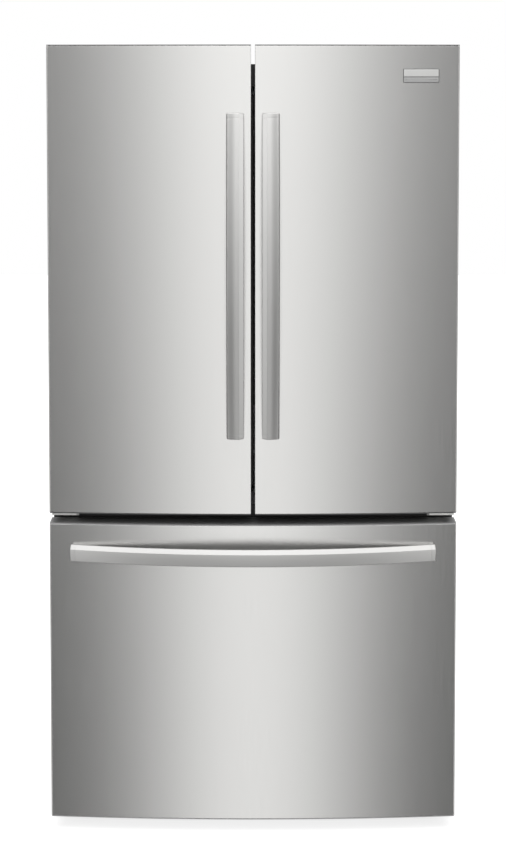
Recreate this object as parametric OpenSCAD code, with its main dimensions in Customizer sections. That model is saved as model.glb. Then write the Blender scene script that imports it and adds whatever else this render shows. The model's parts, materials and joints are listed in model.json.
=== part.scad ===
// French door refrigerator: two curved doors over one freezer drawer.
// Millimetres. The front faces -Y, +Z is up, and the origin is on the floor, at the middle of the plan.

/* [Overall] */
// Width across the two closed doors
overall_w = 908; // [740:1:1100]
// Height from the floor to the tops of the doors
overall_h = 1760; // [1450:1:2120]
// Depth of the cabinet behind the door gaskets
case_d = 622; // [510:1:750]
// How far the middle of the front stands ahead of its outer edges
bulge = 24; // [12:1:34]

/* [Doors and drawer] */
// Thickness of the doors at their outer edges
door_t = 70; // [58:1:85]
// Gap between the two doors
door_gap = 9; // [7:1:12]
// Gap between the doors and the drawer
split_gap = 23; // [19:1:28]
// Height of the drawer's lower edge above the floor
drawer_z = 28; // [22:1:34]
// Height of the drawer front
drawer_h = 669; // [550:1:760]
// Thickness of the gaskets between the doors and the cabinet
gasket_t = 10; // [8:1:12]
// Radius of the folded outer edges of the steel
edge_r = 6; // [4:0.5:10]
// Radius of the folded edges on either side of the gap between the doors
gap_edge_r = 2; // [1.8:0.2:5]
// Thickness of the steel skins
skin_t = 1; // [0.8:0.1:1.5]
// Visible thickness of the end caps
cap_t = 2; // [1.5:0.5:4]

/* [Cabinet] */
// How far each side of the cabinet is set in from the doors
case_inset = 3; // [2:0.5:6]
// How far the doors stand above the cabinet
case_drop = 42; // [40:1:50]
// Height of the cabinet floor above the room's floor
base_h = 60; // [56:1:70]
// Insulated side walls
side_wall = 45; // [40:1:54]
// Insulated ceiling
top_wall = 50; // [40:1:60]
// Insulated rear wall
back_wall = 60; // [50:1:72]
// Insulated freezer floor
floor_wall = 55; // [45:1:66]
// Height of the insulated bar between the two compartments
mullion_h = 84; // [76:1:98]
// Thickness of the plastic liners
liner_t = 2; // [1.5:0.5:3]
// Height of the machine space at the lower rear
machine_h = 240; // [220:1:288]
// Depth of the machine space
machine_d = 193; // [180:1:215]

/* [Handles] */
// Width of the handle bars
handle_w = 38.5; // [32:0.5:44]
// Thickness of the handle bars
handle_t = 16; // [13:0.5:16]
// How far the middle of a handle stands out from the door
handle_out = 61; // [55:1:73]
// How far the ends of a handle stand out from the door
handle_end_out = 18; // [17.5:0.5:24]
// From the centre line of the refrigerator to the middle of an upright handle
handle_x = 39.5; // [32:0.5:50]
// From the bottom of a door to its handle
handle_low = 171; // [120:1:205]
// From the top of a door to its handle
handle_high = 149; // [120:1:180]
// From the top of the drawer front to the middle of its handle
drawer_handle_drop = 64; // [50:1:77]
// From the side of the drawer front to the end of its handle
drawer_handle_side = 46.5; // [40:0.5:60]

/* [Fittings] */
// From the front edge plane of the doors back to the hinge axis
hinge_back = 46; // [40:1:46]
// From the side of a door in to its hinge axis
hinge_in = 18; // [18:0.5:21]
// Radius of the hinge pins
pin_r = 6; // [5:0.5:7]
// Width of the folding mullion
flipper_w = 47; // [44:1:48]
// Thickness of the folding mullion
flipper_t = 22; // [18:1:24]
// Height of the bins in the doors
bin_h = 110; // [90:1:132]
// How far the door bins reach back from the door
bin_d = 98; // [80:1:100]
// Height of the crispers
crisper_h = 170; // [140:1:205]
// Depth of the upper freezer basket
upper_basket_h = 110; // [90:1:115]
// Thickness of the basket, bin and crisper walls
bin_wall = 3; // [2.5:0.5:4]
// Radius of the front rollers
front_roller_r = 21; // [18:0.5:21.5]
// Radius of the rear rollers
rear_roller_r = 24; // [21:0.5:24]

/* [Hidden] */

fit = 0.3;                 // clearance between faces of pieces that move apart
run = 0.05;                // radial clearance of a pin in its hole
far = 3000;                // longer than the refrigerator, for cuts that run right through

// Depths, from front to back
total_d = handle_out + bulge + door_t + gasket_t + case_d;
back_y = total_d / 2;
case_y = back_y - case_d;
door_back = case_y - gasket_t;
edge_y = door_back - door_t;
crown_y = edge_y - bulge;
front_r = (pow(overall_w / 2, 2) + bulge * bulge) / (2 * bulge);
front_cy = crown_y + front_r;

// Heights
door_top = overall_h;
drawer_top = drawer_z + drawer_h;
door_z = drawer_top + split_gap;
door_h = door_top - door_z;
case_top = door_top - case_drop;
split_z = (drawer_top + door_z) / 2;
fridge_z0 = split_z + mullion_h / 2;
fridge_z1 = case_top - top_wall;
freezer_z0 = base_h + floor_wall;
freezer_z1 = split_z - mullion_h / 2;
step_z = base_h + machine_h + 30;

// Widths, measured from the centre line
door_x = overall_w / 2;
gap_x = door_gap / 2;
case_x = door_x - case_inset;
shell_t = 1;
frame_t = 2;
panel_t = 1.5;
room_x = case_x - side_wall;

// Inside faces of the two compartments
room_back = back_y - back_wall;
step_y = back_y - machine_d - 80;
machine_y = back_y - machine_d;

// Feet of the handles
foot_in = 22;
foot_r = 10;

// Hinges and gaskets
hinge_x = door_x - hinge_in;
hinge_y = edge_y + hinge_back;
gasket_out = hinge_x - 2;
gasket_w = 22;
gasket_in = 8;
gasket_y0 = door_back;
gasket_y1 = case_y - fit;
door_gasket_z0 = door_z + 6;
door_gasket_z1 = fridge_z1 + gasket_w + 4;
drawer_gasket_z0 = freezer_z0 - gasket_w - 4;
drawer_gasket_z1 = drawer_top - 5;

// Upper hinge bracket, which lies in a recess in the top of the door
arm_t = 4;
arm_z = case_top + 20;
arm_r = 14;
recess_z = arm_z - 3;
recess_in = 18;
recess_front = 30;
socket_wall = 14;
socket_h = 30;
cover_x1 = case_x - 2;
bracket_x1 = cover_x1 - 4;

// Centre hinge plate, between the doors and the drawer
plate_z = door_z - 3 - arm_t;
bush_r = pin_r + 4;
collar_h = 6;

// Inner faces of the doors
dike_w = 16;
dike_d = 40;
dike_side = 57.5;
dike_in = gap_x + dike_side;
dike_out = room_x - 14;
bin_x0 = dike_in + dike_w + 1;
bin_x1 = dike_out - dike_w - 1;
bin_y0 = door_back + 2;
bin_y1 = bin_y0 + bin_d;
inside_z0 = fridge_z0 + 20;
inside_z1 = fridge_z1 - 20;
bin_z = [for (i = [0:2]) inside_z0 + 20 + i * (inside_z1 - inside_z0 - 20) / 3];
lug_h = 10;
lug_w = 9;
dairy_axis = [bin_y0 + 8, bin_z[2] + bin_h - 6];

// Folding mullion, shut
flipper_x1 = 1;
flipper_x0 = flipper_x1 - flipper_w;
flipper_y0 = case_y + fit;
flipper_y1 = flipper_y0 + flipper_t;
pivot_x = flipper_x0 + 6;
pivot_y = flipper_y0 + 6.5;
pivot_r = 3;
lug_z0 = fridge_z0 + 5;
lug_t = 12;
flipper_z0 = lug_z0 + lug_t + 0.5;
flipper_z1 = fridge_z1 - 5 - lug_t - 0.5;

// Refrigerator compartment
shelf_y0 = bin_y1 + 14;
shelf_y1 = room_back - 6;
cover_t = 8;
cover_z0 = fridge_z0 + crisper_h + 8;
cover_z1 = cover_z0 + cover_t;
shelf_h = 20;
shelf_z = [for (i = [1:2]) cover_z1 + i * (fridge_z1 - cover_z1) / 3];
shelf_x0 = 4;
shelf_x1 = room_x - 4;
track_x = [-shelf_x1 + 16, -24, 24, shelf_x1 - 16];
crisper_y0 = bin_y1 + 56;
crisper_x0 = 10;
crisper_x1 = room_x - 12;
lip_d = 12;

// Freezer compartment
basket_y0 = door_back + 18;
ledge_z = freezer_z1 - 107;
upper_z0 = ledge_z - upper_basket_h;
slide_z1 = upper_z0 - 55;
slide_h = 35;
slide_y0 = case_y + 13;

// The slides run back over the step, or stop ahead of it where the drawer is low
slide_y1 = slide_z1 - slide_h > step_z + liner_t + 5 ? room_back - 95 : step_y - 8;

slide_t = [10, 9, 10];
slide_gap = 0.5;
slide_x = [room_x - slide_t[0],
           room_x - slide_t[0] - slide_gap - slide_t[1],
           room_x - slide_t[0] - slide_t[1] - slide_t[2] - 2 * slide_gap];
rim_t = 4;
lower_x = slide_x[2] - 6;
upper_x = room_x - 22;
fan_z = freezer_z1 - 105;
fan_r = 50;
evaporator_y = room_back - 70;

// Machine space
fan_x = 20;
cooling_fan_r = 70;
cooling_y = (machine_y + back_y) / 2 + 8;
cooling_z = base_h + 105;
compressor_x = -case_x + 150;
compressor_r = 72;

// Rollers and legs
roller_x = case_x - 51;
roller_w = 24;
front_roller_y = case_y + 78;
rear_roller_y = back_y - 62;
axle_r = 5;
leg_y = case_y + 43;

// A box between two corners
module span(a, b) {
    translate(a) cube(b - a);
}

// The same shape on both sides
module both_sides() {
    children();
    mirror([1, 0, 0]) children();
}

// Everything behind the curved front, moved in by a thickness
module behind_front(inset = 0) {
    translate([0, front_cy, -50]) cylinder(r = front_r - inset, h = far, $fn = 256);
}

// Cuts a vertical edge of the front down to a round one in short flats; dir is 1 for a face towards +X
module edge_cut(side_x, dir, full_r, inset, z0, z1) {
    flats = 5;
    r = full_r - inset;
    cx = side_x - dir * full_r;
    cy = front_cy - sqrt(pow(front_r - full_r, 2) - cx * cx);
    side_a = dir > 0 ? 0 : -180;
    front_a = atan2(cy - front_cy, cx);
    outer = side_x + dir * 4;
    step_a = (front_a - side_a) / flats;
    arc = [for (i = [0:flats]) [cx + r * cos(side_a + i * step_a), cy + r * sin(side_a + i * step_a)]];
    translate([0, 0, z0 - 1])
        linear_extrude(z1 - z0 + 2)
            polygon(concat(arc, [[outer, arc[flats][1] - 4], [outer, cy]]));
}

// A door or drawer body with a curved front and two round edges, that of a door sharper at the gap
module door_body(x0, x1, y1, z0, z1, inset = 0) {
    x0_r = x0 == gap_x ? gap_edge_r : edge_r;
    difference() {
        intersection() {
            span([x0 + inset, crown_y - 5, z0], [x1 - inset, y1, z1]);
            behind_front(inset);
        }
        edge_cut(x0, -1, x0_r, inset, z0, z1);
        edge_cut(x1, 1, edge_r, inset, z0, z1);
    }
}

// The steel sheet: the front and the two sides
module steel_skin(x0, x1, z0, z1) {
    difference() {
        door_body(x0, x1, door_back - liner_t, z0 + cap_t, z1 - cap_t);
        door_body(x0, x1, door_back + 1, z0, z1, skin_t);
    }
}

// A rectangular ring that seals a door against the cabinet
module gasket_ring(x0, x1, z0, z1) {
    difference() {
        span([x0, gasket_y0, z0], [x1, gasket_y1, z1]);
        span([x0 + gasket_w, gasket_y0 - 1, z0 + gasket_w], [x1 - gasket_w, gasket_y1 + 1, z1 - gasket_w]);
    }
}

// Section of a handle: a flat back, a slightly crowned face, and a bevel along its +X side
module handle_section() {
    half = handle_w / 2;
    bevel_w = 10;
    bevel_d = 4.5;
    corner = 4;
    crown_r = 150;
    intersection() {
        polygon([[-half + corner, 0], [half - corner, 0], [half, corner], [half, handle_t - bevel_d],
                 [half - bevel_w, handle_t], [-half + corner, handle_t], [-half, handle_t - corner],
                 [-half, corner]]);
        translate([0, handle_t - crown_r]) circle(r = crown_r, $fn = 200);
    }
}

// A bar of the given length and rise, arched towards -Y about Z, its crown at y = 0
module arched_bar(length, rise) {
    r = (pow(length / 2, 2) + rise * rise) / (2 * rise);
    a = asin(length / 2 / r);
    translate([0, r, 0])
        rotate([0, 0, -90 - a])
            rotate_extrude(angle = 2 * a, $fn = 256)
                translate([r - handle_t, 0])
                    rotate([0, 0, -90]) mirror([1, 0, 0]) handle_section();
}

// Right-hand door; the left-hand one is its mirror image
module hinge_recess() {
    span([hinge_x - recess_in, hinge_y - recess_front, recess_z], [door_x + 5, door_back + 5, door_top + 5]);
}

module door_skin() {
    difference() {
        steel_skin(gap_x, door_x, door_z, door_top);
        hinge_recess();
    }
}

module pin_hole() {
    translate([hinge_x, hinge_y, door_z - 1]) cylinder(r = pin_r + run, h = socket_h + 1, $fn = 64);
    translate([hinge_x, hinge_y, recess_z - socket_h]) cylinder(r = pin_r + run, h = socket_h + 1, $fn = 64);
}

// The solid blocks of the end caps that hold the hinge pins
module socket_block(z0, z1, grow = 0) {
    intersection() {
        door_body(gap_x, door_x, door_back - liner_t, z0, z1, skin_t);
        span([hinge_x - recess_in - socket_wall - grow, crown_y, z0], [door_x, door_back - liner_t, z1]);
    }
}

module door_caps() {
    difference() {
        union() {
            door_body(gap_x, door_x, door_back, door_z, door_z + cap_t);
            door_body(gap_x, door_x, door_back, door_top - cap_t, door_top);
            socket_block(door_z, door_z + socket_h + 6);
            socket_block(recess_z - socket_h - 6, door_top);
        }
        hinge_recess();
        pin_hole();
    }
}

module door_foam() {
    difference() {
        door_body(gap_x, door_x, door_back - liner_t, door_z + cap_t, door_top - cap_t, skin_t);
        socket_block(door_z, door_z + socket_h + 6);
        socket_block(recess_z - socket_h - 6, door_top);
    }
}

// Plastic inner face with two upright ribs, and lugs that the bins rest on
module door_liner() {
    difference() {
        union() {
            span([gap_x, door_back - liner_t, door_z + cap_t], [door_x, door_back, door_top - cap_t]);
            for (x = [dike_in, dike_out - dike_w])
                span([x, door_back, inside_z0], [x + dike_w, door_back + dike_d, inside_z1]);
            for (z = bin_z, x = [dike_in + dike_w, dike_out - dike_w - lug_w])
                span([x, door_back, z - lug_h], [x + lug_w, door_back + dike_d - 4, z]);
        }
        hinge_recess();
    }
}

module door_gasket() {
    gasket_ring(gasket_in, gasket_out, door_gasket_z0, door_gasket_z1);
}

module door_handle() {
    length = door_h - handle_low - handle_high;
    middle = door_z + handle_low + length / 2;
    difference() {
        translate([handle_x, crown_y - handle_out, middle]) {
            rotate([0, -90, 0]) arched_bar(length, handle_out - handle_end_out);
            for (s = [-1, 1])
                translate([0, handle_out + 10, s * (length / 2 - foot_in)])
                    rotate([90, 0, 0]) cylinder(r = foot_r, h = 30, $fn = 48);
        }
        behind_front();
    }
}

// An open-topped box
module tray(a, b) {
    difference() {
        span(a, b);
        span(a + [bin_wall, bin_wall, bin_wall], b - [bin_wall, bin_wall, -5]);
    }
}

module door_bin(z) {
    tray([bin_x0, bin_y0, z], [bin_x1, bin_y1, z + bin_h]);
}

// Cabinet
module cabinet_shell() {
    color([0.20, 0.20, 0.21])
    difference() {
        span([-case_x, case_y + frame_t, 20], [case_x, back_y - panel_t, case_top]);
        span([-case_x + shell_t, case_y, 0], [case_x - shell_t, back_y, case_top - shell_t]);
    }
}

module face_frame() {
    color([0.05, 0.05, 0.05])
    difference() {
        span([-case_x, case_y, base_h], [case_x, case_y + frame_t, case_top]);
        span([-room_x, case_y - 1, fridge_z0], [room_x, case_y + frame_t + 1, fridge_z1]);
        span([-room_x, case_y - 1, freezer_z0], [room_x, case_y + frame_t + 1, freezer_z1]);
    }
}

module rear_panel() {
    color([0.62, 0.63, 0.64])
    span([-case_x, back_y - panel_t, base_h + machine_h], [case_x, back_y, case_top]);
}

// The two compartments, grown by a thickness
module fridge_room(grow = 0) {
    span([-room_x - grow, case_y + frame_t, fridge_z0 - grow],
         [room_x + grow, room_back + grow, fridge_z1 + grow]);
}

module freezer_room(grow = 0) {
    span([-room_x - grow, case_y + frame_t, freezer_z0 - grow],
         [room_x + grow, step_y + grow, freezer_z1 + grow]);
    span([-room_x - grow, case_y + frame_t, step_z - grow],
         [room_x + grow, room_back + grow, freezer_z1 + grow]);
}

module cabinet_foam() {
    color([0.93, 0.87, 0.70])
    difference() {
        span([-case_x + shell_t, case_y + frame_t, base_h],
             [case_x - shell_t, back_y - panel_t, case_top - shell_t]);
        fridge_room(liner_t);
        freezer_room(liner_t);
        span([-case_x, machine_y, 0], [case_x, back_y + 1, base_h + machine_h]);
    }
}

module fridge_liner() {
    color([0.93, 0.94, 0.95])
    difference() {
        fridge_room(liner_t);
        fridge_room();
        span([-room_x, case_y, fridge_z0], [room_x, case_y + 10, fridge_z1]);
    }
}

module freezer_liner() {
    color([0.93, 0.94, 0.95]) {
        difference() {
            freezer_room(liner_t);
            translate([0, -1, 0]) freezer_room();
            freezer_room();
        }
        both_sides()
            span([room_x - 18, slide_y0, ledge_z - 8], [room_x, room_back - 75, ledge_z]);
    }
}

// Base pan with four pairs of cheeks, each pair round an axle
module base_frame() {
    pan_t = 3;
    color([0.55, 0.56, 0.57]) {
        span([-case_x + shell_t, case_y + frame_t, base_h - pan_t],
             [case_x - shell_t, back_y - panel_t, base_h]);
        both_sides()
            for (axle = [[front_roller_y, front_roller_r + 1], [rear_roller_y, rear_roller_r]]) {
                for (side = [-1, 1])
                    translate([roller_x + side * (roller_w / 2 + 2.5), 0, 0])
                        span([-1.5, axle[0] - 14, axle[1] - 9], [1.5, axle[0] + 14, base_h - pan_t]);
                translate([roller_x - roller_w / 2 - 3, axle[0], axle[1]])
                    rotate([0, 90, 0]) cylinder(r = axle_r, h = roller_w + 6, $fn = 48);
            }
    }
}

module roller(y, r, z) {
    translate([roller_x - roller_w / 2, y, z])
        rotate([0, 90, 0])
            difference() {
                cylinder(r = r, h = roller_w, $fn = 64);
                translate([0, 0, -1]) cylinder(r = axle_r + run, h = roller_w + 2, $fn = 64);
            }
}

module front_rollers() {
    color([0.12, 0.12, 0.12])
    both_sides() roller(front_roller_y, front_roller_r, front_roller_r + 1);
}

module rear_rollers() {
    color([0.12, 0.12, 0.12])
    both_sides() roller(rear_roller_y, rear_roller_r, rear_roller_r);
}

module toe_grille() {
    slot_w = 30;
    slots = floor((case_x - 20) / (slot_w + 10)) - 1;
    color([0.10, 0.10, 0.11])
    difference() {
        span([-case_x + 6, case_y + 16, 12], [case_x - 6, case_y + 19, base_h - 3]);
        for (row = [0:1], i = [-slots:slots])
            translate([i * (slot_w + 10), 0, 24 + row * 13])
                span([-slot_w / 2, case_y, 0], [slot_w / 2, case_y + 30, 6]);
    }
}

module leveling_legs() {
    color([0.25, 0.25, 0.26])
    both_sides()
        translate([case_x - 22, leg_y, 0]) {
            cylinder(r = 16, h = 8, $fn = 6);
            cylinder(r = 6, h = base_h - 3, $fn = 48);
        }
}

// A flat arm from the cabinet to a hinge axis, with a round end
module hinge_arm(y1, z0, z1) {
    translate([hinge_x, hinge_y, z0]) cylinder(r = arm_r, h = z1 - z0, $fn = 64);
    span([hinge_x - arm_r, hinge_y, z0], [bracket_x1, y1, z1]);
}

module top_hinges() {
    color([0.75, 0.75, 0.74])
    both_sides() {
        hinge_arm(case_y + 20, arm_z, arm_z + arm_t);
        span([hinge_x - arm_r, case_y + 16, case_top], [bracket_x1, case_y + 20, arm_z + arm_t]);
        span([hinge_x - 36, case_y + 16, case_top], [bracket_x1, case_y + 90, case_top + arm_t]);
        translate([hinge_x, hinge_y, recess_z - socket_h + 4])
            cylinder(r = pin_r, h = arm_z - recess_z + socket_h - 3, $fn = 64);
    }
}

module hinge_covers() {
    color([0.13, 0.13, 0.14])
    both_sides()
        difference() {
            span([hinge_x - 41, case_y + 3, case_top], [cover_x1, case_y + 96, door_top - 3]);
            span([hinge_x - 38, case_y + 6, case_top - 1], [cover_x1 - 3, case_y + 93, door_top - 6]);
            span([hinge_x - arm_r - 1, case_y, case_top - 1],
                 [hinge_x + arm_r + 1, case_y + 12, arm_z + arm_t + 1]);
        }
}

// Plates at the front of the cabinet that the doors stand on
module center_hinges() {
    flange_t = 4;
    color([0.80, 0.80, 0.78])
    both_sides() {
        span([hinge_x - 42, case_y - flange_t, drawer_top + 3], [case_x - 2, case_y, door_z - 3]);
        span([hinge_x - 42, edge_y + 12, plate_z], [case_x - 2, case_y, plate_z + arm_t]);
        translate([hinge_x, hinge_y, plate_z - collar_h])
            cylinder(r = pin_r, h = door_z - plate_z + collar_h + socket_h - 4, $fn = 64);
    }
}

// A bush under each door and a collar under the plate, round the pins of the centre hinges
module hinge_bushes() {
    color([0.06, 0.06, 0.06])
    both_sides()
        translate([hinge_x, hinge_y, 0])
            difference() {
                union() {
                    translate([0, 0, plate_z + arm_t])
                        cylinder(r = bush_r, h = door_z - fit - plate_z - arm_t, $fn = 64);
                    translate([0, 0, plate_z - collar_h]) cylinder(r = bush_r, h = collar_h, $fn = 64);
                }
                cylinder(r = pin_r, h = far, $fn = 64);
            }
}

module mullion_striker() {
    color([0.45, 0.45, 0.46])
    span([-6, case_y - 5, door_z + 6], [6, case_y, door_z + 33]);
}

// Machine space
module compressor() {
    color([0.07, 0.07, 0.07])
    translate([compressor_x, cooling_y - 4, base_h]) {
        translate([0, 0, 12])
            rotate_extrude($fn = 96)
                difference() {
                    union() {
                        translate([0, 30]) square([compressor_r, 80]);
                        intersection() {
                            translate([0, 30]) circle(r = compressor_r, $fn = 96);
                            square([compressor_r, 30]);
                        }
                        intersection() {
                            translate([0, 110]) circle(r = compressor_r, $fn = 96);
                            translate([0, 109]) square([compressor_r, 56]);
                        }
                    }
                    translate([-200, -1]) square([200, 300]);
                }
        for (x = [-1, 1], y = [-1, 1])
            translate([x * 62, y * 52, 0]) cylinder(r = 11, h = 16, $fn = 32);
        span([-80, -64, 12], [80, 64, 15]);
    }
}

module condenser_coil() {
    x0 = fan_x + 70;
    x1 = case_x - 60;
    fin_gap = 9;
    fins = floor((x1 - x0 - 12) / fin_gap);
    tube_r = 4;
    color([0.10, 0.10, 0.10]) {
        for (i = [0:fins])
            translate([x0 + 6 + i * fin_gap, 0, 0])
                span([0, cooling_y - 50, base_h + 10], [1, cooling_y + 50, base_h + 200]);
        for (y = [-30, 0, 30], z = [40, 105, 170])
            translate([x0, cooling_y + y, base_h + z])
                rotate([0, 90, 0]) cylinder(r = tube_r, h = x1 - x0, $fn = 24);
        for (x = [x0, x1 - 4])
            span([x, cooling_y - 52, base_h], [x + 4, cooling_y + 52, base_h + 204]);
    }
}

// Motor and ring that hold the condenser fan
module fan_bracket() {
    color([0.30, 0.30, 0.31])
    translate([fan_x, cooling_y, cooling_z]) {
        rotate([0, 90, 0])
            difference() {
                translate([0, 0, 2]) cylinder(r = cooling_fan_r + 12, h = 16, $fn = 96);
                translate([0, 0, 1]) cylinder(r = cooling_fan_r + 3, h = 30, $fn = 96);
            }
        translate([30, 0, 0]) rotate([0, 90, 0]) cylinder(r = 22, h = 30, $fn = 64);
        for (a = [0:120:240])
            rotate([a, 0, 0]) span([30, -4, 15], [34, 4, cooling_fan_r + 10]);
        for (a = [0:120:240])
            rotate([a, 0, 0]) span([14, -4, cooling_fan_r + 4], [34, 4, cooling_fan_r + 10]);
        translate([12, 0, 0]) rotate([0, 90, 0]) cylinder(r = 3, h = 20, $fn = 32);
        span([2, -40, base_h - cooling_z], [18, 40, -cooling_fan_r - 6]);
    }
}

// A hub with tilted blades, turning about X
module fan_blades(r, hub_r, width, blades, hole_r) {
    rotate([0, 90, 0])
        difference() {
            union() {
                cylinder(r = hub_r, h = width, center = true, $fn = 64);
                for (i = [0:blades - 1])
                    rotate([0, 0, i * 360 / blades])
                        translate([hub_r - 2, 0, 0])
                            rotate([35, 0, 0])
                                span([0, -width, -0.75], [r - hub_r, width, 0.75]);
            }
            cylinder(r = hole_r, h = 200, center = true, $fn = 64);
        }
}

module condenser_fan() {
    color([0.15, 0.15, 0.16])
    translate([fan_x + 16, cooling_y, cooling_z]) fan_blades(cooling_fan_r, 20, 12, 5, 3 + run);
}

module machine_cover() {
    rows = 7;
    color([0.62, 0.63, 0.64])
    difference() {
        span([-case_x, back_y - panel_t, base_h], [case_x, back_y, base_h + machine_h]);
        for (i = [0:rows - 1], side = [-1, 1])
            translate([side * case_x / 2, 0, base_h + 40 + i * 22])
                span([-case_x / 4, back_y - 10, 0], [case_x / 4, back_y + 1, 8]);
        translate([case_x - 60, back_y - 10, base_h + machine_h - 42]) cube([30, 20, 24]);
    }
}

module power_inlet() {
    inlet_d = 26;
    color([0.05, 0.05, 0.05])
    translate([case_x - 60, back_y - inlet_d, base_h + machine_h - 42])
        difference() {
            cube([30, inlet_d, 24]);
            for (p = [[9, 9], [21, 9], [15, 16]])
                translate([p[0] - 1, inlet_d - 14, p[1] - 3]) cube([2, 20, 6]);
        }
}

// Freezer compartment
module evaporator_coil() {
    fins = floor(2 * (room_x - 60) / 12);
    z0 = step_z + 40;
    z1 = freezer_z1 - 20;
    y0 = evaporator_y + 18;
    y1 = room_back - 6;
    color([0.72, 0.73, 0.74]) {
        for (i = [0:fins])
            translate([-room_x + 60 + i * 12, 0, 0]) span([0, y0, z0 + 8], [1, y1, z1 - 8]);
        for (k = [0:5])
            translate([-room_x + 50, (y0 + y1) / 2, z0 + 20 + k * (z1 - z0 - 40) / 5])
                rotate([0, 90, 0]) cylinder(r = 4.5, h = 2 * room_x - 100, $fn = 24);
        both_sides()
            span([room_x - 54, y0, z0], [room_x - 50, room_back, z1]);
    }
}

module evaporator_cover() {
    color([0.88, 0.89, 0.90])
    difference() {
        span([-room_x, evaporator_y, step_z], [room_x, evaporator_y + 4, freezer_z1]);
        translate([0, evaporator_y + 10, fan_z]) rotate([90, 0, 0]) cylinder(r = fan_r + 4, h = 30, $fn = 96);
    }
    color([0.88, 0.89, 0.90]) {
        translate([0, evaporator_y + 17, fan_z]) rotate([90, 0, 0]) cylinder(r = 16, h = 6, $fn = 48);
        translate([0, evaporator_y + 14, fan_z]) rotate([90, 0, 0]) cylinder(r = 3, h = 16, $fn = 32);
        for (a = [45:90:315])
            rotate_about_y(fan_z, a)
                span([12, evaporator_y + 11, fan_z - 3], [fan_r + 12, evaporator_y + 14, fan_z + 3]);
        for (a = [45:90:315])
            rotate_about_y(fan_z, a)
                span([fan_r + 6, evaporator_y + 2, fan_z - 3], [fan_r + 12, evaporator_y + 14, fan_z + 3]);
    }
}

module rotate_about_y(z, a) {
    translate([0, 0, z]) rotate([0, a, 0]) translate([0, 0, -z]) children();
}

module evaporator_fan() {
    color([0.80, 0.81, 0.82])
    translate([0, evaporator_y + 3, fan_z]) rotate([0, 0, 90]) fan_blades(fan_r, 14, 7, 5, 3 + run);
}

module slides_fixed() {
    color([0.70, 0.71, 0.72])
    both_sides() span([slide_x[0], slide_y0, slide_z1 - slide_h], [room_x, slide_y1, slide_z1]);
}

module slides_middle() {
    color([0.76, 0.77, 0.78])
    both_sides()
        span([slide_x[1], slide_y0, slide_z1 - slide_h + 3], [slide_x[0] - slide_gap, slide_y1, slide_z1 - 3]);
}

module slide_arms() {
    color([0.70, 0.71, 0.72])
    both_sides()
        span([slide_x[2], door_back, slide_z1 - slide_h], [slide_x[1] - slide_gap, slide_y1 - 20, slide_z1]);
}

module lower_basket() {
    color([0.90, 0.92, 0.94]) {
        tray([-lower_x, basket_y0, freezer_z0 + 10], [lower_x, step_y - 15, slide_z1 + rim_t]);
        both_sides()
            span([lower_x - bin_wall, basket_y0, slide_z1],
                 [slide_x[1] - slide_gap, step_y - 15, slide_z1 + rim_t]);
    }
}

module upper_basket() {
    y0 = basket_y0 + 25;
    y1 = evaporator_y - 22;
    color([0.90, 0.92, 0.94]) {
        tray([-upper_x, y0, upper_z0], [upper_x, y1, ledge_z + fit + rim_t]);
        both_sides()
            span([upper_x - bin_wall, y0, ledge_z + fit], [room_x - 3, y1, ledge_z + fit + rim_t]);
    }
}

// Refrigerator compartment
module control_panel() {
    keys = 5;
    color([0.80, 0.81, 0.83])
    difference() {
        span([-140, shelf_y0 + 10, fridge_z1 - 22], [140, shelf_y0 + 130, fridge_z1]);
        for (i = [0:keys - 1])
            translate([-100 + i * 50, shelf_y0 + 9, fridge_z1 - 15]) cube([24, 1.8, 8]);
    }
}

module shelf_tracks() {
    slot_pitch = 40;
    z0 = cover_z1 + 20;
    slots = floor((fridge_z1 - 30 - z0 - 30) / slot_pitch);
    color([0.86, 0.87, 0.88])
    for (x = track_x)
        difference() {
            span([x - 10, shelf_y1, z0], [x + 10, room_back, fridge_z1 - 30]);
            for (i = [0:slots - 1])
                translate([x - 3, shelf_y1 - 1, z0 + 20 + i * slot_pitch]) cube([6, 5, 12]);
        }
}

module shelf_opening(z, grow) {
    span([shelf_x0 + 14 - grow, shelf_y0 + 16 - grow, z - 1],
         [shelf_x1 - 14 + grow, shelf_y1 - 26 + grow, z + shelf_h + 1]);
}

module shelf_frames() {
    color([0.87, 0.89, 0.91])
    both_sides()
        for (z = shelf_z)
            difference() {
                span([shelf_x0, shelf_y0, z], [shelf_x1, shelf_y1, z + shelf_h]);
                shelf_opening(z, 0);
                shelf_opening(z + shelf_h - 3, 5);
            }
}

module shelf_glass() {
    color([0.75, 0.88, 0.88, 0.4])
    both_sides()
        for (z = shelf_z)
            span([shelf_x0 + 9, shelf_y0 + 11, z + shelf_h - 4], [shelf_x1 - 9, shelf_y1 - 21, z + shelf_h]);
}

// Shelf over the crispers, standing on a middle wall and two side walls
module crisper_cover() {
    color([0.87, 0.89, 0.91]) {
        span([-room_x, shelf_y0, cover_z0], [room_x, shelf_y1, cover_z1]);
        span([-6, shelf_y0 + 30, fridge_z0], [6, shelf_y1, cover_z0]);
        both_sides() span([room_x - 6, shelf_y0 + 30, fridge_z0], [room_x, shelf_y1, cover_z0]);
    }
}

// A crisper bin with a lip along its front to pull on
module crisper() {
    top = fridge_z0 + crisper_h;
    tray([crisper_x0, crisper_y0, fridge_z0 + fit], [crisper_x1, shelf_y1 - 10, top]);
    span([crisper_x0 + 40, crisper_y0 - lip_d, top - 14], [crisper_x1 - 40, crisper_y0 + 1, top - 10]);
}

module crisper_right() {
    color([0.80, 0.88, 0.92, 0.6]) crisper();
}

module crisper_left() {
    color([0.80, 0.88, 0.92, 0.6]) mirror([1, 0, 0]) crisper();
}

// Doors
module right_door_skin() {
    color([0.72, 0.72, 0.71]) door_skin();
}

module left_door_skin() {
    color([0.72, 0.72, 0.71]) mirror([1, 0, 0]) door_skin();
}

module right_door_foam() {
    color([0.93, 0.87, 0.70]) door_foam();
}

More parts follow.
